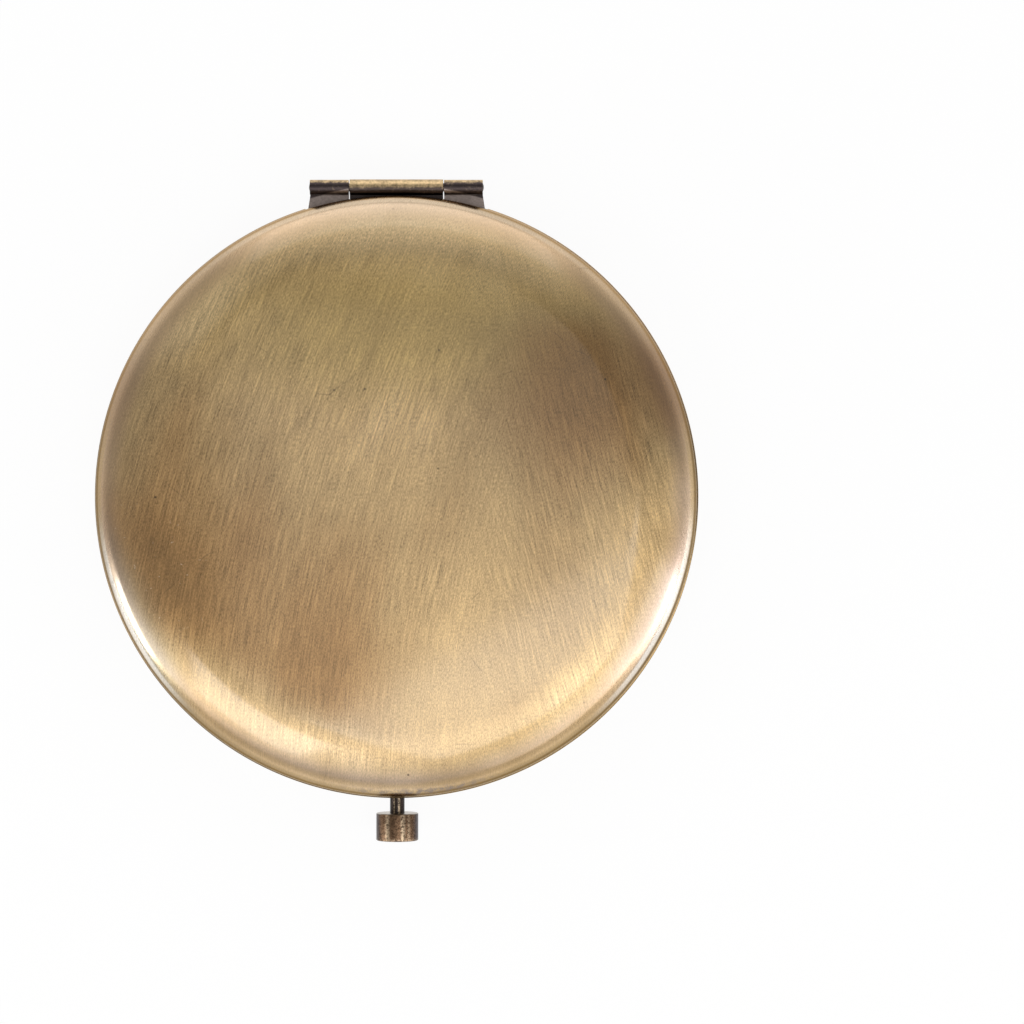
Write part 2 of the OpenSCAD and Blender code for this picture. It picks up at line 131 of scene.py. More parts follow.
# In stops
CLOUD_STOPS = -0.5
WIDE_STOPS = -0.6
# Painted highlight: a ring on the back of the shoulder, this many stops brighter
RING_STOPS = 0.22
# Stops over which the hue goes from deep to plain and from plain to pale
HUE_DEEP = (-1.1, 0.0)
HUE_PALE = (0.0, 0.7)
# As a share of the tone: fine strokes, pale and dark hairs
FINE_LINES = 1.45
PALE_HAIRS = 0.15
DARK_HAIRS = -0.06
# From the crown to the shoulder: the strokes' and grain's strength, bump, roughness, lacquer
LINES_LEFT = (1.0, 0.2)
GRAIN_LEFT = (1.9, 0.9)
BUMP_LEFT = (1.0, 0.3)
ROUGHNESS = (0.44, 0.28)
LACQUER = (0.8, 0.12)
# Share of the painted shade and grime that stays at the hinge
BACK_SHADE_AND_DIRT = 0.35
# Cover of the marks
TARNISH_COVER = 0.75
PIT_COVER = 0.8
HAIRLINE_COVER = 0.3
NICK_COVER = 0.6

# ---- Tones ----

BRASS_DEEP = (0.55, 0.317, 0.126, 1)
BRASS = (0.473, 0.327, 0.156, 1)
BRASS_PALE = (0.453, 0.334, 0.189, 1)
BRASS_EDGE = (0.85, 0.68, 0.46, 1)
# Bluer shoulder hue that makes the lamps' reflections there read white: a painted highlight hue
SHOULDER_TINT = (1.0, 1.0, 1.22, 1)
# Dim tint of the outer rim: painted shade on the floor it mirrors
SIDES_RIM_SHADE_TINT = (0.84, 0.82, 0.78, 1)
FRONT_OLIVE_TINT = (1.1, 1.05, 0.81, 1)
# Dim tint of the outer rim at the front: painted shade on the floor it mirrors
FRONT_RIM_SHADE_TINT = (0.77, 0.77, 0.85, 1)
# Painted shade, partly grime, on the wall at the gap between the shells
SHADE_AND_DIRT = (0.085, 0.056, 0.034, 1)
TARNISH = (0.16, 0.13, 0.135, 1)
PIT = (0.05, 0.035, 0.025, 1)
NICK = (0.75, 0.62, 0.45, 1)
TURNED_DARK = (0.40, 0.285, 0.145, 1)
TURNED_PALE = (0.54, 0.395, 0.215, 1)
TURNED_SPECK = (0.22, 0.155, 0.085, 1)
CREST_DARK = (0.22, 0.16, 0.09, 1)
CREST_PALE = (0.68, 0.50, 0.28, 1)
KNUCKLE_SPECK = (0.24, 0.18, 0.135, 1)
RUBBED_AND_HIGHLIGHT_BRONZE = (0.80, 0.62, 0.42, 1)
INNER_FACE = (0.58, 0.54, 0.48, 1)
OUTER_FACE = (0.75, 0.60, 0.42, 1)
GLASS_EDGE = (0.35, 0.45, 0.42, 1)
GLASS_FACE = (0.91, 0.925, 0.925, 1)
FOAM_DARK = (0.70, 0.70, 0.67, 1)
FOAM_PALE = (0.86, 0.86, 0.83, 1)
PAPER_DARK = (0.86, 0.86, 0.86, 1)
PAPER_PALE = (0.88, 0.88, 0.88, 1)
WHITE = (1, 1, 1, 1)
SKY = (1.0, 0.99, 0.97, 1)

# ---- Texture of the finishes ----

# Widths of brush stroke: noise per millimetre across and along, shift of seed, detail, roughness
STROKES = (
    (5.0, 0.28, 0, 2, 0.7),
    (3.2, 0.16, 7, 1, 0.5),
    (0.22, 0.03, 13, 1.5, 0.5),
)
# Slope of the strokes against Y: of the left fan, its growth over Y, and of the right fan
LEFT_LEAN = 0.28
LEFT_BEND = 0.007
RIGHT_LEAN = 0.26
# X over which the right fan takes over, and how far that line wanders, in millimetres
FANS_MEET = (4.0, 19.0)
FANS_WANDER = 14.0
# Shift of seed from the left fan's noise to the right fan's
RIGHT_SEED = 31

# Bump heights in metres
STROKE_DEPTH = 0.000006
PATINA_DEPTH = 0.00001
BRONZE_DEPTH = 0.000012
STEEL_DEPTH = 0.000004
FOAM_DEPTH = 0.00003

# ---- Stage ----

# World light at the horizon and overhead
WORLD_LOW = 0.8
WORLD_TOP = 0.25
# Floor: its side and its depth below the part in metres, and how much of it shines by itself
FLOOR_SIDE = 6
FLOOR_DROP = 0.00002
FLOOR_GLOW = 0.93
# The photograph's view: width across its frame, distance above the gap between the shells,
# and place of its middle, in millimetres
VIEW_W = 118.7
VIEW_AWAY = 400
VIEW_X = 13.38
VIEW_Y = -1.82
# In metres
CLIP_START = 0.01


# ---- Node graphs ----

class Graph:
    """A material's node tree, with short calls that add a node and return its output."""

    def __init__(self, name):
        self.material = bpy.data.materials.new(name)
        self.material.use_nodes = True
        self.tree = self.material.node_tree
        self.tree.nodes.clear()
        self.out = self.tree.nodes.new("ShaderNodeOutputMaterial")

    def node(self, kind, inputs=(), **settings):
        made = self.tree.nodes.new(kind)
        for key, value in settings.items():
            setattr(made, key, value)
        for key, value in dict(inputs).items():
            self.feed(made.inputs[key], value)
        return made

    def feed(self, socket, value):
        if isinstance(value, bpy.types.NodeSocket):
            self.tree.links.new(value, socket)
        else:
            socket.default_value = value

    def math(self, operation, a, b=0.0):
        return self.node("ShaderNodeMath", {0: a, 1: b}, operation=operation).outputs[0]

    def add(self, total, *others):
        for other in others:
            total = self.math("ADD", total, other)
        return total

    def times(self, product, *others):
        for other in others:
            product = self.math("MULTIPLY", product, other)
        return product

    def length(self, x, y):
        return self.math("SQRT", self.add(self.times(x, x), self.times(y, y)))

    def smooth(self, value, low, high, start=0.0, end=1.0):
        made = self.node("ShaderNodeMapRange", {
            "Value": value, "From Min": low, "From Max": high, "To Min": start, "To Max": end,
        }, interpolation_type="SMOOTHSTEP")
        return made.outputs["Result"]

    def vector(self, x, y, z):
        return self.node("ShaderNodeCombineXYZ", {"X": x, "Y": y, "Z": z}).outputs[0]

    def scale(self, vector, factor):
        made = self.node("ShaderNodeVectorMath", {0: vector, "Scale": factor}, operation="SCALE")
        return made.outputs[0]

    def shift(self, vector, offset):
        made = self.node("ShaderNodeVectorMath", {0: vector, 1: offset}, operation="ADD")
        return made.outputs[0]

    def convert(self, vector, kind, source, target):
        made = self.node("ShaderNodeVectorTransform", {0: vector}, vector_type=kind,
                         convert_from=source, convert_to=target)
        return made.outputs[0]

    def noise(self, vector, scale=1.0, detail=2.0, roughness=0.5):
        made = self.node("ShaderNodeTexNoise", {
            "Vector": vector, "Scale": scale, "Detail": detail, "Roughness": roughness,
        })
        return made.outputs[0]

    def mix(self, share, a, b, blend="MIX"):
        made = self.node("ShaderNodeMix", {"Factor": share}, data_type="RGBA", blend_type=blend)
        self.feed(made.inputs[6], a)
        self.feed(made.inputs[7], b)
        return made.outputs[2]

    def mix_float(self, share, a, b):
        return self.node("ShaderNodeMix", {0: share, 2: a, 3: b}, data_type="FLOAT").outputs[0]

    def mm(self):
        """Place on the surface in the object's own millimetres."""
        return self.scale(self.node("ShaderNodeTexCoord").outputs["Object"], 1 / MM)

    def axes(self, vector):
        """X, Y and Z of a vector."""
        return list(self.node("ShaderNodeSeparateXYZ", {0: vector}).outputs)

    def bump(self, height, distance, strength):
        made = self.node("ShaderNodeBump", {
            "Height": height, "Distance": distance, "Strength": strength,
        })
        return made.outputs[0]

    def finish(self, **inputs):
        shader = self.node("ShaderNodeBsdfPrincipled")
        for key, value in inputs.items():
            self.feed(shader.inputs[key.replace("_", " ")], value)
        self.tree.links.new(shader.outputs[0], self.out.inputs[0])
        return self.material


def blob(g, x, y, at, size, turn=0.0):
    """Soft elliptical spot: 1 in its middle, 0 from its edge outwards."""
    c = math.cos(math.radians(turn))
    s = math.sin(math.radians(turn))
    dx = g.add(x, -at[0])
    dy = g.add(y, -at[1])
    along = g.times(g.add(g.times(dx, c), g.times(dy, s)), 1 / size[0])
    across = g.times(g.add(g.times(dy, c), g.times(dx, -s)), 1 / size[1])
    return g.smooth(g.length(along, across), 0.15, 1.0, 1.0, 0.0)


def strokes(g, across, along, seed):
    """Fine, hair and wide brush strokes as long thin noise, each about 0 to 1."""
    return [g.noise(g.vector(g.times(across, often), g.times(along, seldom), seed + shift),
                    detail=detail, roughness=roughness)
            for often, seldom, shift, detail, roughness in STROKES]


def scratches(g, spot, scale, width, rare, seed):
    """Thin bent hairlines that come and go: 1 in a line, 0 beside it."""
    bend = g.node("ShaderNodeTexNoise", {"Vector": spot, "Scale": 0.12, "Detail": 2.0})
    moved = g.shift(spot, g.scale(bend.outputs["Color"], 4.0))
    moved = g.shift(moved, (seed, seed, 0))
    cells = g.node("ShaderNodeTexVoronoi", {"Vector": moved, "Scale": scale},
                   feature="DISTANCE_TO_EDGE")
    reach = scale * width
    line = g.smooth(cells.outputs["Distance"], reach * 0.25, reach, 1.0, 0.0)
    shown = g.smooth(g.noise(moved, scale=scale * 5, detail=3), rare, rare + 0.08)
    return g.times(line, shown)


def brass_colour(g, x, y, radius, stops, tints, rims):
    """Hue of a shell: redder where it is darker, paler and bluer on the shoulder as a painted
    highlight hue, dimmer on the outer rim towards the front as painted shade, and pale on its
    rims, partly metal worn through and partly painted highlight.
    """
    colour = g.mix(g.smooth(stops, *HUE_DEEP), BRASS_DEEP, BRASS)
    colour = g.mix(g.smooth(stops, *HUE_PALE), colour, BRASS_PALE)
    # Painted highlight hue: the shoulder turns bluer so the lamps' reflections there read cream
    # and white
    inside = g.math("MAXIMUM", g.smooth(radius, *SHOULDER_PALE_END), g.smooth(y, *BACK))
    pale = g.times(g.smooth(radius, *SHOULDER_PALE), inside)
    # Painted shade: the outer rim dimmed towards the front, where it mirrors the floor
    worn = g.times(g.smooth(radius, *SIDES_RIM_SHADE), g.smooth(y, *SIDES))
    front = g.smooth(y, *FRONT)
    olive = g.times(g.smooth(radius, *FRONT_OLIVE), front)
    # Painted shade: the outer rim dimmed further at the front
    front_rim_shade = g.times(g.smooth(radius, *FRONT_RIM_SHADE), front)
    for share, tint in ((pale, SHOULDER_TINT), (worn, SIDES_RIM_SHADE_TINT), (olive, FRONT_OLIVE_TINT),
                        (front_rim_shade, FRONT_RIM_SHADE_TINT)):
        colour = g.mix(share, colour, tint, "MULTIPLY")
    above = g.smooth(radius, *ABOVE_WALL)
    for at, size, turn, tint in tints:
        share = g.times(above, blob(g, x, y, at, size, turn))
        colour = g.mix(share, colour, tint + (1,), "MULTIPLY")
    # Painted highlight, partly metal worn through: the rims' pale stretches
    polished = g.times(above, g.smooth(radius, *BARE_AND_HIGHLIGHT_RIM))
    for at, size, turn, bare_and_highlight in rims:
        share = g.times(polished, blob(g, x, y, at, size, turn))
        colour = g.mix(share, colour, bare_and_highlight + (1,))
    return colour


def brass_shade_and_dirt(g, x, y, z, spot, radius, tone, shade_and_dirt_at, shade_and_dirt_z, shade_and_dirt, bright_side):
    """Painted shade and grime on the wall, along the gap between the shells and at the lid's lower
    edge, with less of it at the hinge, and tarnish in blotches at the front.
    """
    # Painted shade, partly grime: a dark band on the wall along the gap between the shells, less
    # at the hinge and less towards the front right, where the lamps reach the edge
    edge = g.times(g.smooth(radius, *shade_and_dirt_at), g.smooth(z, *shade_and_dirt_z))
    edge = g.times(edge, g.smooth(y, *BACK_LESS_SHADE_AND_DIRT, 1.0, BACK_SHADE_AND_DIRT))
    front_right = g.smooth(g.add(x, g.times(y, -1.0)), *FRONT_RIGHT, 1.0, 1.0 - bright_side)
    clouds = g.noise(spot, scale=1.6, detail=3, roughness=0.6)
    mottle = g.smooth(clouds, 0.3, 0.6, 0.8, 1.0)
    tone = g.mix(g.times(edge, front_right, g.times(mottle, shade_and_dirt)), tone, SHADE_AND_DIRT)
    front = g.times(blob(g, x, y, *TARNISH_SPOT), g.smooth(radius, *FRONT_TARNISH),
                    g.smooth(z, *TARNISH_Z))
    blotch = g.smooth(g.noise(spot, scale=1.4, detail=4, roughness=0.65), 0.4, 0.58)
    return g.mix(g.times(front, blotch, TARNISH_COVER), tone, TARNISH)


def brass_marks(g, x, y, spot, tone, seed):
    """Dark pits and hairlines, and bright nicks at the left."""
    pits = g.node("ShaderNodeTexVoronoi", {"Vector": spot, "Scale": 0.2, "Randomness": 1.0})
    pit = g.smooth(pits.outputs["Distance"], 0.014, 0.036, 1.0, 0.0)
    hairline = scratches(g, spot, scale=0.05, width=0.08, rare=0.58, seed=seed)
    marks = g.math("MAXIMUM", g.times(pit, PIT_COVER), g.times(hairline, HAIRLINE_COVER))
    tone = g.mix(marks, tone, PIT)
    nick = scratches(g, spot, scale=0.4, width=0.06, rare=0.62, seed=seed + 5)
    nick = g.times(nick, blob(g, x, y, *NICKS_SPOT))
    return g.mix(g.times(nick, NICK_COVER), tone, NICK)


def brushed_brass(name, seed, spots, tints, rims, shade_and_dirt_at, shade_and_dirt_z, shade_and_dirt, bright_side):
    """Lacquered antique brass, brushed in two overlapping fans and polished at the shoulder.

    Each spot raises or lowers the tone by so many stops: partly patina, and on the lid partly
    painted reflection and shade. Each tint shifts its hue, some of them to whiten painted
    highlights. Each of the rims is a stretch of the edge painted pale, partly metal worn through
    and partly painted highlight. Painted shade and grime lie on the wall, where the radius and the
    height say so, less of it towards the front right where bright_side is above 0.
    """
    g = Graph(name)
    spot = g.mm()
    x, y, z = g.axes(spot)
    radius = g.length(x, y)
    cloud = g.noise(spot, scale=0.06, detail=2)
    left_lean = g.add(g.times(y, LEFT_BEND), LEFT_LEAN)
    across_left = g.add(x, g.times(y, g.add(g.times(y, -LEFT_BEND / 2), -LEFT_LEAN)))
    across_right = g.add(x, g.times(y, RIGHT_LEAN))
    side = g.smooth(g.add(x, g.times(g.add(cloud, -0.5), FANS_WANDER)), *FANS_MEET)
    left = strokes(g, across_left, y, seed)
    right = strokes(g, across_right, y, seed + RIGHT_SEED)
    fine, hair, wide = [g.mix_float(side, a, b) for a, b in zip(left, right)]
    grain = g.vector(g.times(across_left, 9.0), g.times(y, 3.2), seed)
    grain = g.noise(grain, detail=2, roughness=0.75)
    lean = g.mix_float(side, left_lean, -RIGHT_LEAN)
    across = g.vector(1.0, g.times(lean, -1.0), 0.0)
    tangent = g.convert(across, "VECTOR", "OBJECT", "WORLD")

    stops = g.add(g.times(g.add(cloud, -0.5), CLOUD_STOPS),
                  g.times(g.add(wide, -0.5), WIDE_STOPS))
    # Painted highlight: a ring on the shoulder at the back, brighter by RING_STOPS
    ring = g.times(g.smooth(radius, *RING_IN), g.smooth(radius, *RING_OUT))
    stops = g.add(stops, g.times(ring, g.smooth(y, *BACK), RING_STOPS))
    # Spots raise or lower the tone: patina, and on the lid also painted reflection and shade
    for at, size, turn, depth in spots:
        stops = g.add(stops, g.times(blob(g, x, y, at, size, turn), depth))
    colour = brass_colour(g, x, y, radius, stops, tints, rims)

    lines = g.add(g.times(g.add(fine, -0.5), FINE_LINES),
                  g.times(g.smooth(hair, 0.54, 0.66), PALE_HAIRS),
                  g.times(g.smooth(hair, 0.44, 0.34), DARK_HAIRS))
    for at, size, calm in CALM_SPOTS:
        lines = g.times(lines, g.add(1.0, g.times(blob(g, x, y, at, size), -calm)))
    lines = g.times(lines, g.smooth(radius, *STROKES_FADE, *LINES_LEFT))
    grit = g.times(g.add(grain, -0.5), g.smooth(radius, *GRAIN_FADE, *GRAIN_LEFT))
    level = g.times(g.math("POWER", 2.0, stops), g.add(lines, grit, 1.0))
    tone = g.scale(colour, level)
    tone = brass_shade_and_dirt(g, x, y, z, spot, radius, tone, shade_and_dirt_at, shade_and_dirt_z, shade_and_dirt, bright_side)
    tone = brass_marks(g, x, y, spot, tone, seed)

    rough = g.smooth(radius, *SHOULDER_GLOSS, *ROUGHNESS)
    rough = g.add(g.times(g.add(fine, -0.5), 0.12), rough)
    height = g.times(g.add(fine, g.times(hair, 0.5)), g.smooth(radius, *BUMP_FADE, *BUMP_LEFT))
    lacquer = g.smooth(radius, *LACQUER_END, *LACQUER)
    return g.finish(Base_Color=tone, Metallic=1.0, Roughness=rough, Anisotropic=0.6,
                    Tangent=tangent, Normal=g.bump(height, STROKE_DEPTH, 0.5),
                    Coat_Weight=lacquer, Coat_Roughness=0.12, Coat_IOR=1.6,
                    Specular_Tint=BRASS_EDGE)


def speckle(g, spot, seed, scale=3.2):
    """Mottling of patinated brass: a coarse cloud and fine specks, each about 0 to 1."""
    moved = g.shift(spot, (seed, seed * 0.7, seed * 0.3))
    cloud = g.noise(moved, scale=0.9, detail=3)
    return cloud, g.noise(moved, scale=scale, detail=3, roughness=0.75)


def patina_brass(name, light, dark, seed, wear):
    """Patinated brass with mottled tone, worn lighter where noise says so."""
    g = Graph(name)
    spot = g.mm()
    cloud, speck = speckle(g, spot, seed)
    cover = g.add(g.times(cloud, 0.6), g.times(speck, 0.4))
    colour = g.mix(g.smooth(cover, wear - 0.14, wear + 0.14), dark, light)
    rough = g.add(g.times(speck, 0.15), 0.33)
    return g.finish(Base_Color=colour, Metallic=1.0, Roughness=rough,
                    Normal=g.bump(speck, PATINA_DEPTH, 0.35))


def frame_brass(name, seed, bright_from, dark_from, leaf_r, leaf, dark):
    """Antique brass of a frame whose hinge end is dark, its rolled knuckles painted bright along
    the crest and dark on the lower flanks: partly wear and patina, partly painted highlight and
    shade.

    Outside the radius dark_from the patina has the tone dark: antique black, and painted shade on
    the knuckles' lower flanks. Past bright_from the crest is painted bright, partly worn brass and
    partly painted highlight. The leaf inside leaf_r has a tone of its own, on the lid's frame a
    painted shadow in the gap at the lid's rim.
    """
    g = Graph(name)
    spot = g.mm()
    x, y = g.axes(spot)[:2]
    cloud, speck = speckle(g, spot, seed)
    grit = g.add(g.times(g.add(speck, -0.5), 1.1), g.times(g.add(cloud, -0.5), 0.5))
    radius = g.length(x, y)
    turned = g.vector(g.times(radius, 5.0), g.times(g.math("ARCTAN2", y, x), 1.5), seed)
    ring = g.mix(g.smooth(g.noise(turned, detail=3), 0.3, 0.7), TURNED_DARK, TURNED_PALE)
    ring = g.mix(g.times(g.smooth(speck, 0.55, 0.8), 0.35), ring, TURNED_SPECK)
    # Crest tone: partly worn brass and partly painted highlight on the knuckles' outward side
    bare_and_highlight = g.mix(g.smooth(grit, -0.4, 0.25), CREST_DARK, CREST_PALE)
    # Black: antique patina, and painted shade on the knuckles' lower flanks
    black = g.mix(g.smooth(grit, 0.0, 0.5), dark + (1,), KNUCKLE_SPECK)
    leaf_dark = tuple(c * 0.6 for c in leaf) + (1,)
    grey = g.mix(g.smooth(grit, -0.3, 0.3), leaf_dark, leaf + (1,))
    leaf_end = g.add(radius, g.times(grit, 0.1))
    knuckle = g.mix(g.smooth(leaf_end, leaf_r - 0.08, leaf_r + 0.08), grey, black)
    crest = g.add(y, g.times(grit, 0.35))
    knuckle = g.mix(g.smooth(crest, bright_from - 0.2, bright_from + 0.15), knuckle, bare_and_highlight)
    outside = g.smooth(radius, dark_from - 0.15, dark_from + 0.15)
    hinge = g.times(g.smooth(y, *HINGE_DARK), outside)
    rough = g.add(g.times(speck, 0.2), 0.28)
    return g.finish(Base_Color=g.mix(hinge, ring, knuckle), Metallic=1.0, Roughness=rough,
                    Normal=g.bump(speck, PATINA_DEPTH, 0.4))


def turned_bronze(name, seed, body, edge, reach, streaks, ends):
    """Turned bronze, its flanks painted dark as shade and lengthwise streaks painted bright as
    highlights, partly rubbed bronze in specks.

    The flanks lie near reach, the piece's radius. A streak is its X, its half width and its
    strength; ends are the two Y where the faces pale.
    """
    g = Graph(name)
    spot = g.mm()
    x, y = g.axes(spot)[:2]
    cloud, speck = speckle(g, spot, seed, 4.6)
    grit = g.add(g.times(g.add(speck, -0.5), 2.4), g.times(g.add(cloud, -0.5), 0.4))
    # Painted shade: the flanks darker towards the piece's sides
    flank = g.smooth(g.math("ABSOLUTE", x), reach * 0.72, reach * 0.98)
    fleck = g.math("MAXIMUM", g.add(g.times(grit, 1.7), 0.95), 0.25)
    colour = g.scale(g.mix(flank, body + (1,), edge + (1,)), fleck)
    side = 1.0 if ends is None else g.smooth(y, ends[1] + 0.02, ends[1] + 0.14)
    # Painted highlights, partly rubbed bronze: bright lengthwise streaks
    for at, width, strength in streaks:
        off = g.math("ABSOLUTE", g.add(g.add(x, -at), g.times(grit, width * 0.5)))
        lit = g.times(g.smooth(off, width, 0.0), side, g.smooth(grit, -0.4, 0.25))
        colour = g.mix(g.times(lit, strength), colour, RUBBED_AND_HIGHLIGHT_BRONZE)
    if ends is not None:
        inner = g.smooth(y, ends[0] - 0.12, ends[0] - 0.02)
        outer = g.times(g.smooth(y, ends[1] + 0.5, ends[1] + 0.05), g.smooth(grit, -0.1, 0.4))
        colour = g.mix(g.times(inner, 0.8), colour, INNER_FACE)
        colour = g.mix(g.times(outer, 0.45), colour, OUTER_FACE)
    rough = g.add(g.times(speck, 0.25), 0.2)
    return g.finish(Base_Color=colour, Metallic=1.0, Roughness=rough,
                    Normal=g.bump(speck, BRONZE_DEPTH, 0.5))


def satin_steel(name, tone, seed):
    """Rolled steel sheet with faint straight grain."""
    g = Graph(name)
    spot = g.mm()
    x, y, z = g.axes(spot)
    grain = g.noise(g.vector(g.times(x, 0.2), g.times(y, 6.0), g.add(z, seed)), detail=3)
    cloud = g.noise(spot, scale=0.12, detail=2)
    dark = tuple(c * 0.8 for c in tone) + (1,)
    colour = g.mix(g.add(g.times(grain, 0.6), g.times(cloud, 0.4)), dark, tone + (1,))
    rough = g.add(g.times(grain, 0.15), 0.25)
    return g.finish(Base_Color=colour, Metallic=1.0, Roughness=rough,
                    Normal=g.bump(grain, STEEL_DEPTH, 0.4))


def mirror_glass(name):
    """Silvered glass: a bright face with a trace of dust, and greenish ground edges."""
    g = Graph(name)
    spot = g.mm()
    dust = g.noise(spot, scale=4.0, detail=4, roughness=0.7)
    smear = g.noise(spot, scale=0.1, detail=2)
    up = g.node("ShaderNodeNewGeometry").outputs["True Normal"]
    up_z = g.axes(g.convert(up, "NORMAL", "WORLD", "OBJECT"))[2]
    face = g.smooth(g.math("ABSOLUTE", up_z), 0.5, 0.8)
    rough = g.add(g.times(g.smooth(dust, 0.6, 0.8), 0.06), g.times(smear, 0.02))
    return g.finish(Base_Color=g.mix(face, GLASS_EDGE, GLASS_FACE), Metallic=1.0,
                    Roughness=g.mix_float(face, 0.35, rough))


def foam_pad(name):
    """Pale adhesive foam with fine cells."""
    g = Graph(name)
    spot = g.mm()
    cells = g.noise(spot, scale=6.0, detail=3)
    return g.finish(Base_Color=g.mix(cells, FOAM_DARK, FOAM_PALE), Roughness=0.85,
                    Normal=g.bump(cells, FOAM_DEPTH, 0.5))


def floor_paper(name):
    """Pale paper that looks white by itself and still takes a soft shadow."""
    g = Graph(name)
    spot = g.mm()
    pale = g.mix(g.noise(spot, scale=0.5, detail=3), PAPER_DARK, PAPER_PALE)
    diffuse = g.node("ShaderNodeBsdfDiffuse", {"Color": pale}).outputs[0]
    white = g.node("ShaderNodeEmission", {"Color": WHITE, "Strength": 1.0}).outputs[0]
    path = g.node("ShaderNodeLightPath").outputs
    mirrored = g.math("MAXIMUM", path["Is Glossy Ray"], path["Is Transmission Ray"])
    seen = g.math("MAXIMUM", path["Is Camera Ray"], mirrored)
    both = g.node("ShaderNodeMixShader", {0: g.times(seen, FLOOR_GLOW), 1: diffuse, 2: white})
    g.tree.links.new(both.outputs[0], g.out.inputs[0])
    return g.material


# ---- Meshes ----

def new_object(name, vertices, faces):
    """Smooth-shaded object from vertices in millimetres, with sharp edges kept."""
    mesh = bpy.data.meshes.new(name)
    mesh.from_pydata([tuple(v * MM for v in p) for p in vertices], [], faces)
    bm = bmesh.new()
    bm.from_mesh(mesh)
    bmesh.ops.remove_doubles(bm, verts=bm.verts, dist=MM / 1000)
    bmesh.ops.delete(bm, geom=[v for v in bm.verts if not v.link_faces], context="VERTS")
    bmesh.ops.recalc_face_normals(bm, faces=bm.faces)
    bm.to_mesh(mesh)
    bm.free()
    mesh.polygons.foreach_set("use_smooth", [True] * len(mesh.polygons))
    mesh.set_sharp_from_angle(angle=math.radians(SHARP_ANGLE))
    made = bpy.data.objects.new(name, mesh)
    bpy.context.scene.collection.objects.link(made)
    return made


def arc(cx, cy, r, start, end, steps):
    """Points of an arc, angles in degrees from +x towards +y."""
    return [(cx + r * math.cos(a), cy + r * math.sin(a))
            for a in np.radians(np.linspace(start, end, steps + 1))]


def wall_curve(r, h, inset, flat):
    """Half outline of a dome, inset by a thickness, and the height where its wall begins."""
    slope = math.degrees(math.asin(CROWN_SHARE * r / CROWN_R))
    sin_a = math.sin(math.radians(slope))
    cos_a = math.cos(math.radians(slope))
    sin_b = math.sin(math.radians(FLANK_SLOPE))
    cos_b = math.cos(math.radians(FLANK_SLOPE))
    flank_r = (r - SHOULDER_R * (1 - sin_b) - CROWN_R * sin_a) / (sin_b - sin_a)
    cy = h - CROWN_R
    crown = CROWN_R - inset
    top = arc(0, cy, crown, 90, 90 - slope, CROWN_STEPS)
    if flat is not None:
        reach = math.sqrt(crown ** 2 - (flat - cy) ** 2)
        start = math.degrees(math.atan2(flat - cy, reach))
        top = [(0, flat), (reach / 2, flat)] + arc(0, cy, crown, start, 90 - slope, BEND_STEPS)
    fx = (CROWN_R - flank_r) * sin_a
    fy = cy + (CROWN_R - flank_r) * cos_a
    flank = arc(fx, fy, flank_r - inset, 90 - slope, 90 - FLANK_SLOPE, BEND_STEPS)
    sx = fx + (flank_r - SHOULDER_R) * sin_b
    sy = fy + (flank_r - SHOULDER_R) * cos_b
    shoulder = arc(sx, sy, SHOULDER_R - inset, 90 - FLANK_SLOPE, 0, BEND_STEPS)
    return top + flank[1:] + shoulder[1:], sy


def split(curve, height):
    """The curve with a point added where it comes down to a height, and that point's place."""
    for i in range(len(curve) - 1):
        (x0, y0), (x1, y1) = curve[i], curve[i + 1]
        if y0 > height >= y1:
            t = (y0 - height) / (y0 - y1)
            return curve[:i + 1] + [(x0 + (x1 - x0) * t, height)] + curve[i + 1:], i + 1
    return curve, len(curve) - 1


def shell_points(r, h, notch_h, flat):
    """Section of a shell as (radius, height above its rim), and the notch points' places in it."""
    outer, sy = wall_curve(r, h, 0, flat)
    inner = wall_curve(r, h, SHELL_T, None if flat is None else flat - SHELL_T)[0]
    edge = min(RIM_EDGE_R, sy)
    rim = arc(r - edge, edge, edge, 0, -90, RIM_STEPS)
    rim += [(r - SHELL_T + RIM_BEVEL, 0), (r - SHELL_T, RIM_BEVEL)]
    outer, out_at = split(outer, notch_h)
    inner, in_at = split(inner, notch_h)
    in_at = len(inner) - 1 - in_at
    return outer + rim + inner[::-1], out_at, len(outer) + len(rim) + in_at


def shell(name, r, h, z, up, notch_w, notch_h, flat=None):
    """Pressed shell with a hinge notch at the back; up is 1 for the lid and -1 for the base."""
    points, low, high = shell_points(r, h, notch_h, flat)
    half = math.asin(notch_w / 2 / r)
    plain = np.linspace(half, 2 * math.pi - half, SHELL_STEPS)
    inside = np.linspace(-half, half, NOTCH_STEPS)[1:-1]
    angles = np.concatenate([plain, inside + 2 * math.pi])
    vertices = []
    for a in angles:
        for px, py in points:
            vertices.append((px * math.sin(a), px * math.cos(a), z + up * py))
    size = len(points)
    faces = []
    for i in range(len(angles)):
        j = (i + 1) % len(angles)
        cut = i >= SHELL_STEPS - 1
        for k in range(size - 1):
            if cut and low <= k < high:
                continue
            faces.append((i * size + k, i * size + k + 1, j * size + k + 1, j * size + k))
        if cut:
            faces.append((i * size + low, i * size + high, j * size + high, j * size + low))
    for i in (0, SHELL_STEPS - 1):
        faces.append(tuple(i * size + k for k in range(low, high + 1)))
    return new_object(name, vertices, faces)


def lathe_y(name, profile, y0, z0, steps):
    """Solid turned about a line along -Y from (y0, z0); the profile is (radius, distance)."""
    vertices = []
    for a in np.linspace(0, 2 * math.pi, steps, endpoint=False):
        for px, py in profile:
            vertices.append((px * math.cos(a), y0 - py, z0 + px * math.sin(a)))
    size = len(profile)
    faces = []
    for i in range(steps):
        j = (i + 1) % steps
        for k in range(size - 1):
            faces.append((i * size + k, i * size + k + 1, j * size + k + 1, j * size + k))
    return new_object(name, vertices, faces)


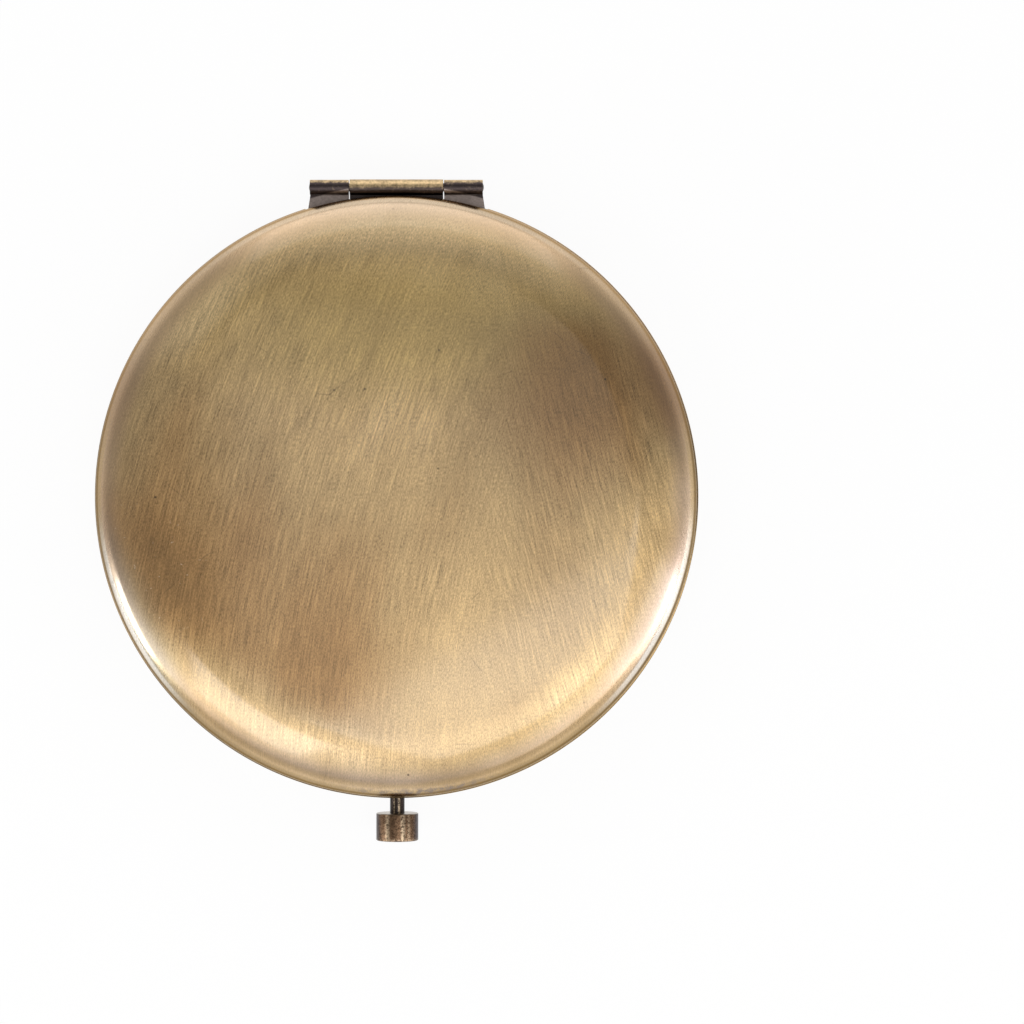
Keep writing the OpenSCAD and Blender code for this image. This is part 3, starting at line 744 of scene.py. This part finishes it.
def knob():
    """Push knob with a blind bore for the rod and rounded edges."""
    e = KNOB_EDGE_R
    profile = [(0, KNOB_BORE_L), (KNOB_BORE_R, KNOB_BORE_L), (KNOB_BORE_R, KNOB_BORE_BEVEL)]
    profile += [(KNOB_BORE_R + KNOB_BORE_BEVEL, 0)]
    profile += arc(KNOB_R - e, e, e, -90, 0, KNOB_EDGE_STEPS)
    profile += arc(KNOB_R - e, KNOB_L - e, e, 0, 90, KNOB_EDGE_STEPS)
    profile += [(KNOB_R / 2, KNOB_L), (0, KNOB_L)]
    return lathe_y("push_knob", profile, -KNOB_IN_Y, ROD_Z, KNOB_STEPS)


def cut_hole(piece, y, z, r, length):
    """Bores a round hole along Y through a piece."""
    bpy.ops.mesh.primitive_cylinder_add(
        vertices=HOLE_STEPS, radius=r * MM, depth=length * MM, location=(0, y * MM, z * MM),
        rotation=(math.pi / 2, 0, 0))
    cutter = bpy.context.object
    modifier = piece.modifiers.new("hole", "BOOLEAN")
    modifier.operation = "DIFFERENCE"
    modifier.solver = "EXACT"
    modifier.object = cutter
    graph = bpy.context.evaluated_depsgraph_get()
    mesh = bpy.data.meshes.new_from_object(piece.evaluated_get(graph))
    piece.modifiers.clear()
    piece.data = mesh
    mesh.set_sharp_from_angle(angle=math.radians(SHARP_ANGLE))
    bpy.data.objects.remove(cutter)


def own_copy(node, name):
    """A piece of its own with the CAD node's shape, for a node that changes shape at a pose."""
    made = bpy.data.objects.new(name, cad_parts[node].data.copy())
    made.matrix_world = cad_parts[node].matrix_world
    bpy.context.scene.collection.objects.link(made)
    return made


def dress(piece, material):
    piece.data.materials.clear()
    piece.data.materials.append(material)


# ---- Materials ----

# Spots of a shell: middle, half length and half width in millimetres, turn in degrees, stops
# On the lid these spots are partly patina and partly painted reflection and shade: the dark and
# light bands of the surroundings mirrored in the dome
LID_SPOTS = [
    ((-17, -14), (37, 20), -63, -0.73),
    ((-28, -8), (14, 8), -50, -0.56),
    ((-1, -4), (34, 10), 58, -0.28),
    ((21, 12), (18, 14), -92, -0.92),
    ((18, -10), (7, 17), -2, -0.25),
    ((8, 26), (40, 7), -10, 0.39),
    ((-24, 21), (13, 7), 24, 0.49),
    ((-11, -29), (40, 8), -32, 0.74),
    ((0, 5), (14, 11), 42, 0.28),
    ((31, 12), (6, 9), 20, -0.7),
    ((34, -1), (4, 7), 0, 0.4),
    ((18, -27), (18, 6), 32, 0.3),
    ((33.2, -9.5), (3.5, 12), -16, 0.5),
    ((-29.5, -14), (3.6, 13), 26, -0.3),
    ((-26, 4), (6, 12), -10, -0.2),
    ((-7, -20.5), (13, 7), 20, -0.17),
    ((-15, 9), (10, 7), 40, -0.08),
    ((-34, 13), (6, 12), -22, -0.5),
    ((22, 13), (8, 10), 0, -0.3),
    ((-26, 21.8), (3.5, 12), 140, -0.32),
    ((27.7, 10.1), (3.5, 9), 20, 0.22),
    ((33.2, 12.1), (2, 9), 20, -0.3),
    ((14.7, -25), (8, 4), 30, -0.2),
    ((30.5, 0.5), (4, 7), 0, 0.2),
    ((29.3, -10.6), (2.5, 7), -20, 0.18),
    ((-30.6, -11.1), (2.6, 7), 20, 0.18),
    ((0, 29.4), (12, 3), 0, 0.14),
    ((21.5, -21.5), (16, 4.5), 45, 0.24),
    ((6, -31.5), (10, 3), 10, 0.2),
]
BASE_SPOTS = [
    ((14, -12), (18, 14), 20, -0.7),
    ((-18, 10), (16, 12), 40, -0.7),
]
# Stretches of the lid's rim painted pale, partly metal worn through and partly painted highlight
# where the lamps' streaks lie: middle, half sizes, turn, tone
LID_RIMS = [
    ((0, 33), (42, 14), 0, (0.64, 0.495, 0.335)),
    ((31, -14.5), (6, 18), -26, (0.84, 0.78, 0.70)),
    ((-31, -14.5), (5, 16), 26, (0.98, 0.93, 0.85)),
]
# Where the lid's hue shifts: middle, half sizes, turn, factors of red, green and blue
LID_TINTS = [
    ((0, 20), (34, 13), 0, (1.0, 1.01, 0.80)),
    ((0, 34), (22, 5), 0, (0.94, 1.0, 1.12)),
    # The next two are bluer where the lamps' streaks lie on the shoulder, so they read white:
    # painted highlight hue
    ((-30.5, -13.5), (4.5, 20), 25, (0.78, 1.0, 1.42)),
    ((31, -15), (6, 18), -26, (0.92, 1.0, 1.4)),
    ((-8, -29), (28, 9), -22, (0.97, 1.0, 1.12)),
]
# Where the brush strokes are faint: middle, half sizes, share taken off
CALM_SPOTS = [
    ((0, 33), (30, 8), 0.7),
    ((6, -24), (16, 16), 0.5),
    ((0, 23), (20, 12), 0.4),
    ((0, -1), (14, 12), 0.25),
    ((21, 23), (18, 13), 0.75),
]
# Painted highlight streaks, partly rubbed bronze: X and half width in millimetres, strength
KNOB_STREAKS = [(-1.05, 0.4, 0.6), (0.75, 0.4, 0.75), (1.4, 0.25, 0.3)]
ROD_STREAKS = [(-0.33, 0.14, 0.5), (0.25, 0.18, 0.7)]
KNOB_ENDS = (-KNOB_IN_Y, -KNOB_IN_Y - KNOB_L)

lid_brass = brushed_brass(
    "lid_brass", seed=3.0, spots=LID_SPOTS, tints=LID_TINTS, rims=LID_RIMS,
    shade_and_dirt_at=LID_SHADE_AND_DIRT_R, shade_and_dirt_z=LID_SHADE_AND_DIRT_Z, shade_and_dirt=0.82, bright_side=0.0)
base_brass = brushed_brass(
    "base_brass", seed=11.0, spots=BASE_SPOTS, tints=[], rims=[],
    shade_and_dirt_at=BASE_SHADE_AND_DIRT_R, shade_and_dirt_z=BASE_SHADE_AND_DIRT_Z, shade_and_dirt=0.75, bright_side=0.65)
base_frame_brass = frame_brass(
    "base_frame_brass", seed=5.0, bright_from=36.36, dark_from=33.9, leaf_r=35.95,
    leaf=(0.33, 0.275, 0.25), dark=(0.055, 0.043, 0.043))
# On the lid's frame the leaf tone is near black: a painted shadow in the gap at the lid's rim
lid_frame_brass = frame_brass(
    "lid_frame_brass", seed=2.0, bright_from=35.8, dark_from=33.9, leaf_r=35.2,
    leaf=(0.05, 0.04, 0.038), dark=(0.06, 0.046, 0.042))
dark_brass = patina_brass(
    "dark_brass", light=(0.17, 0.13, 0.105, 1), dark=(0.045, 0.037, 0.033, 1), seed=5.0, wear=0.52)
knob_bronze = turned_bronze(
    "knob_bronze", seed=9.0, body=(0.13, 0.078, 0.046), edge=(0.06, 0.046, 0.046),
    reach=KNOB_R, streaks=KNOB_STREAKS, ends=KNOB_ENDS)
rod_bronze = turned_bronze(
    "rod_bronze", seed=4.0, body=(0.04, 0.03, 0.026), edge=(0.03, 0.025, 0.025),
    reach=KNOB_BORE_R, streaks=ROD_STREAKS, ends=None)
tray_steel = satin_steel("tray_steel", tone=(0.62, 0.62, 0.63), seed=1.0)
latch_steel = satin_steel("latch_steel", tone=(0.56, 0.56, 0.58), seed=4.0)
glass = mirror_glass("mirror_glass")
pad = foam_pad("mirror_pad")

# ---- Pieces ----

lid = shell("lid_dome", LID_R, LID_H, LID_Z, 1, LID_NOTCH_W, LID_NOTCH_H)
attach(lid, "lid")
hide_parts("lid_shell")
dress(lid, lid_brass)

base = shell("base_dome", BASE_R, BASE_H + REST_DEPTH, BASE_H, -1, BASE_NOTCH_W, BASE_NOTCH_H,
             BASE_H)
cut_hole(base, -BASE_R + HOLE_INSET, ROD_Z, ROD_HOLE_R, HOLE_CUT_L)
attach(base, "base")
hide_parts("base_shell")
dress(base, base_brass)

button = knob()
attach(button, "latch")
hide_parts("button_knob")
dress(button, knob_bronze)

spring = own_copy("latch_spring", "pressed_spring")
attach(spring, "base")
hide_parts("latch_spring")
dress(spring, latch_steel)
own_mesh(spring)

for node, material in (
    ("base_frame", base_frame_brass), ("lid_frame", lid_frame_brass), ("hinge_pin", dark_brass),
    ("button_shaft", rod_bronze), ("lid_catch", dark_brass), ("base_tray", tray_steel),
    ("lid_tray", tray_steel), ("base_mirror", glass), ("lid_mirror", glass),
    ("base_mirror_pad", pad), ("lid_mirror_pad", pad), ("latch_guide", latch_steel),
    ("latch_slide", latch_steel),
):
    dress(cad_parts[node], material)

# ---- Stage ----

bpy.ops.mesh.primitive_plane_add(size=FLOOR_SIDE, location=(0, 0, -FLOOR_DROP))
floor = bpy.context.object
floor.name = "floor"
dress(floor, floor_paper("floor"))

world = bpy.data.worlds.new("studio")
bpy.context.scene.world = world
world.use_nodes = True
tree = world.node_tree
direction = tree.nodes.new("ShaderNodeTexCoord").outputs["Generated"]
height = tree.nodes.new("ShaderNodeSeparateXYZ")
ramp = tree.nodes.new("ShaderNodeMapRange")
background = tree.nodes["Background"]
tree.links.new(direction, height.inputs[0])
tree.links.new(height.outputs[2], ramp.inputs["Value"])
tree.links.new(ramp.outputs["Result"], background.inputs["Strength"])
ramp.inputs["To Min"].default_value = WORLD_LOW
ramp.inputs["To Max"].default_value = WORLD_TOP
background.inputs["Color"].default_value = SKY


def softbox(name, away, lean, turn, size, strength):
    """Area lamp that faces the lid: lean is its angle from overhead, turn its bearing from +X.

    Its distance and its size are in millimetres, and its strength is the same at any size.
    """
    a = math.radians(lean)
    b = math.radians(turn)
    at = Vector((math.sin(a) * math.cos(b), math.sin(a) * math.sin(b), math.cos(a)))
    lamp = bpy.data.lights.new(name, "AREA")
    lamp.shape = "RECTANGLE"
    lamp.size = size[0] * MM
    lamp.size_y = size[1] * MM
    lamp.energy = strength * math.pi * lamp.size * lamp.size_y
    made = bpy.data.objects.new(name, lamp)
    made.location = at * away * MM
    made.rotation_euler = at.to_track_quat("Z", "Y").to_euler()
    made.visible_camera = False
    bpy.context.scene.collection.objects.link(made)


softbox("overhead_box", 900, 0, 0, (420, 420), 0.6)
softbox("front_box", 900, 24, 300, (520, 460), 2.85)
softbox("front_left_box", 800, 42, 234, (300, 300), 4.0)
softbox("back_box", 900, 69, 90, (950, 800), 1.15)
softbox("left_strip", 700, 81, 204, (190, 340), 10.5)
softbox("front_low_box", 850, 55, 306, (480, 260), 0.9)
softbox("right_box", 800, 54, 332, (300, 300), 1.8)
softbox("right_strip", 700, 76, 335, (230, 380), 3.4)

camera = bpy.data.cameras.new("camera")
camera.sensor_fit = "HORIZONTAL"
camera.angle = 2 * math.atan(VIEW_W / 2 / VIEW_AWAY)
camera.clip_start = CLIP_START
camera_object = bpy.data.objects.new("camera", camera)
view_z = (BASE_H + LID_Z) / 2 + VIEW_AWAY
camera_object.location = (VIEW_X * MM, VIEW_Y * MM, view_z * MM)
bpy.context.scene.collection.objects.link(camera_object)
bpy.context.scene.camera = camera_object
bpy.context.scene.view_settings.view_transform = "Standard"
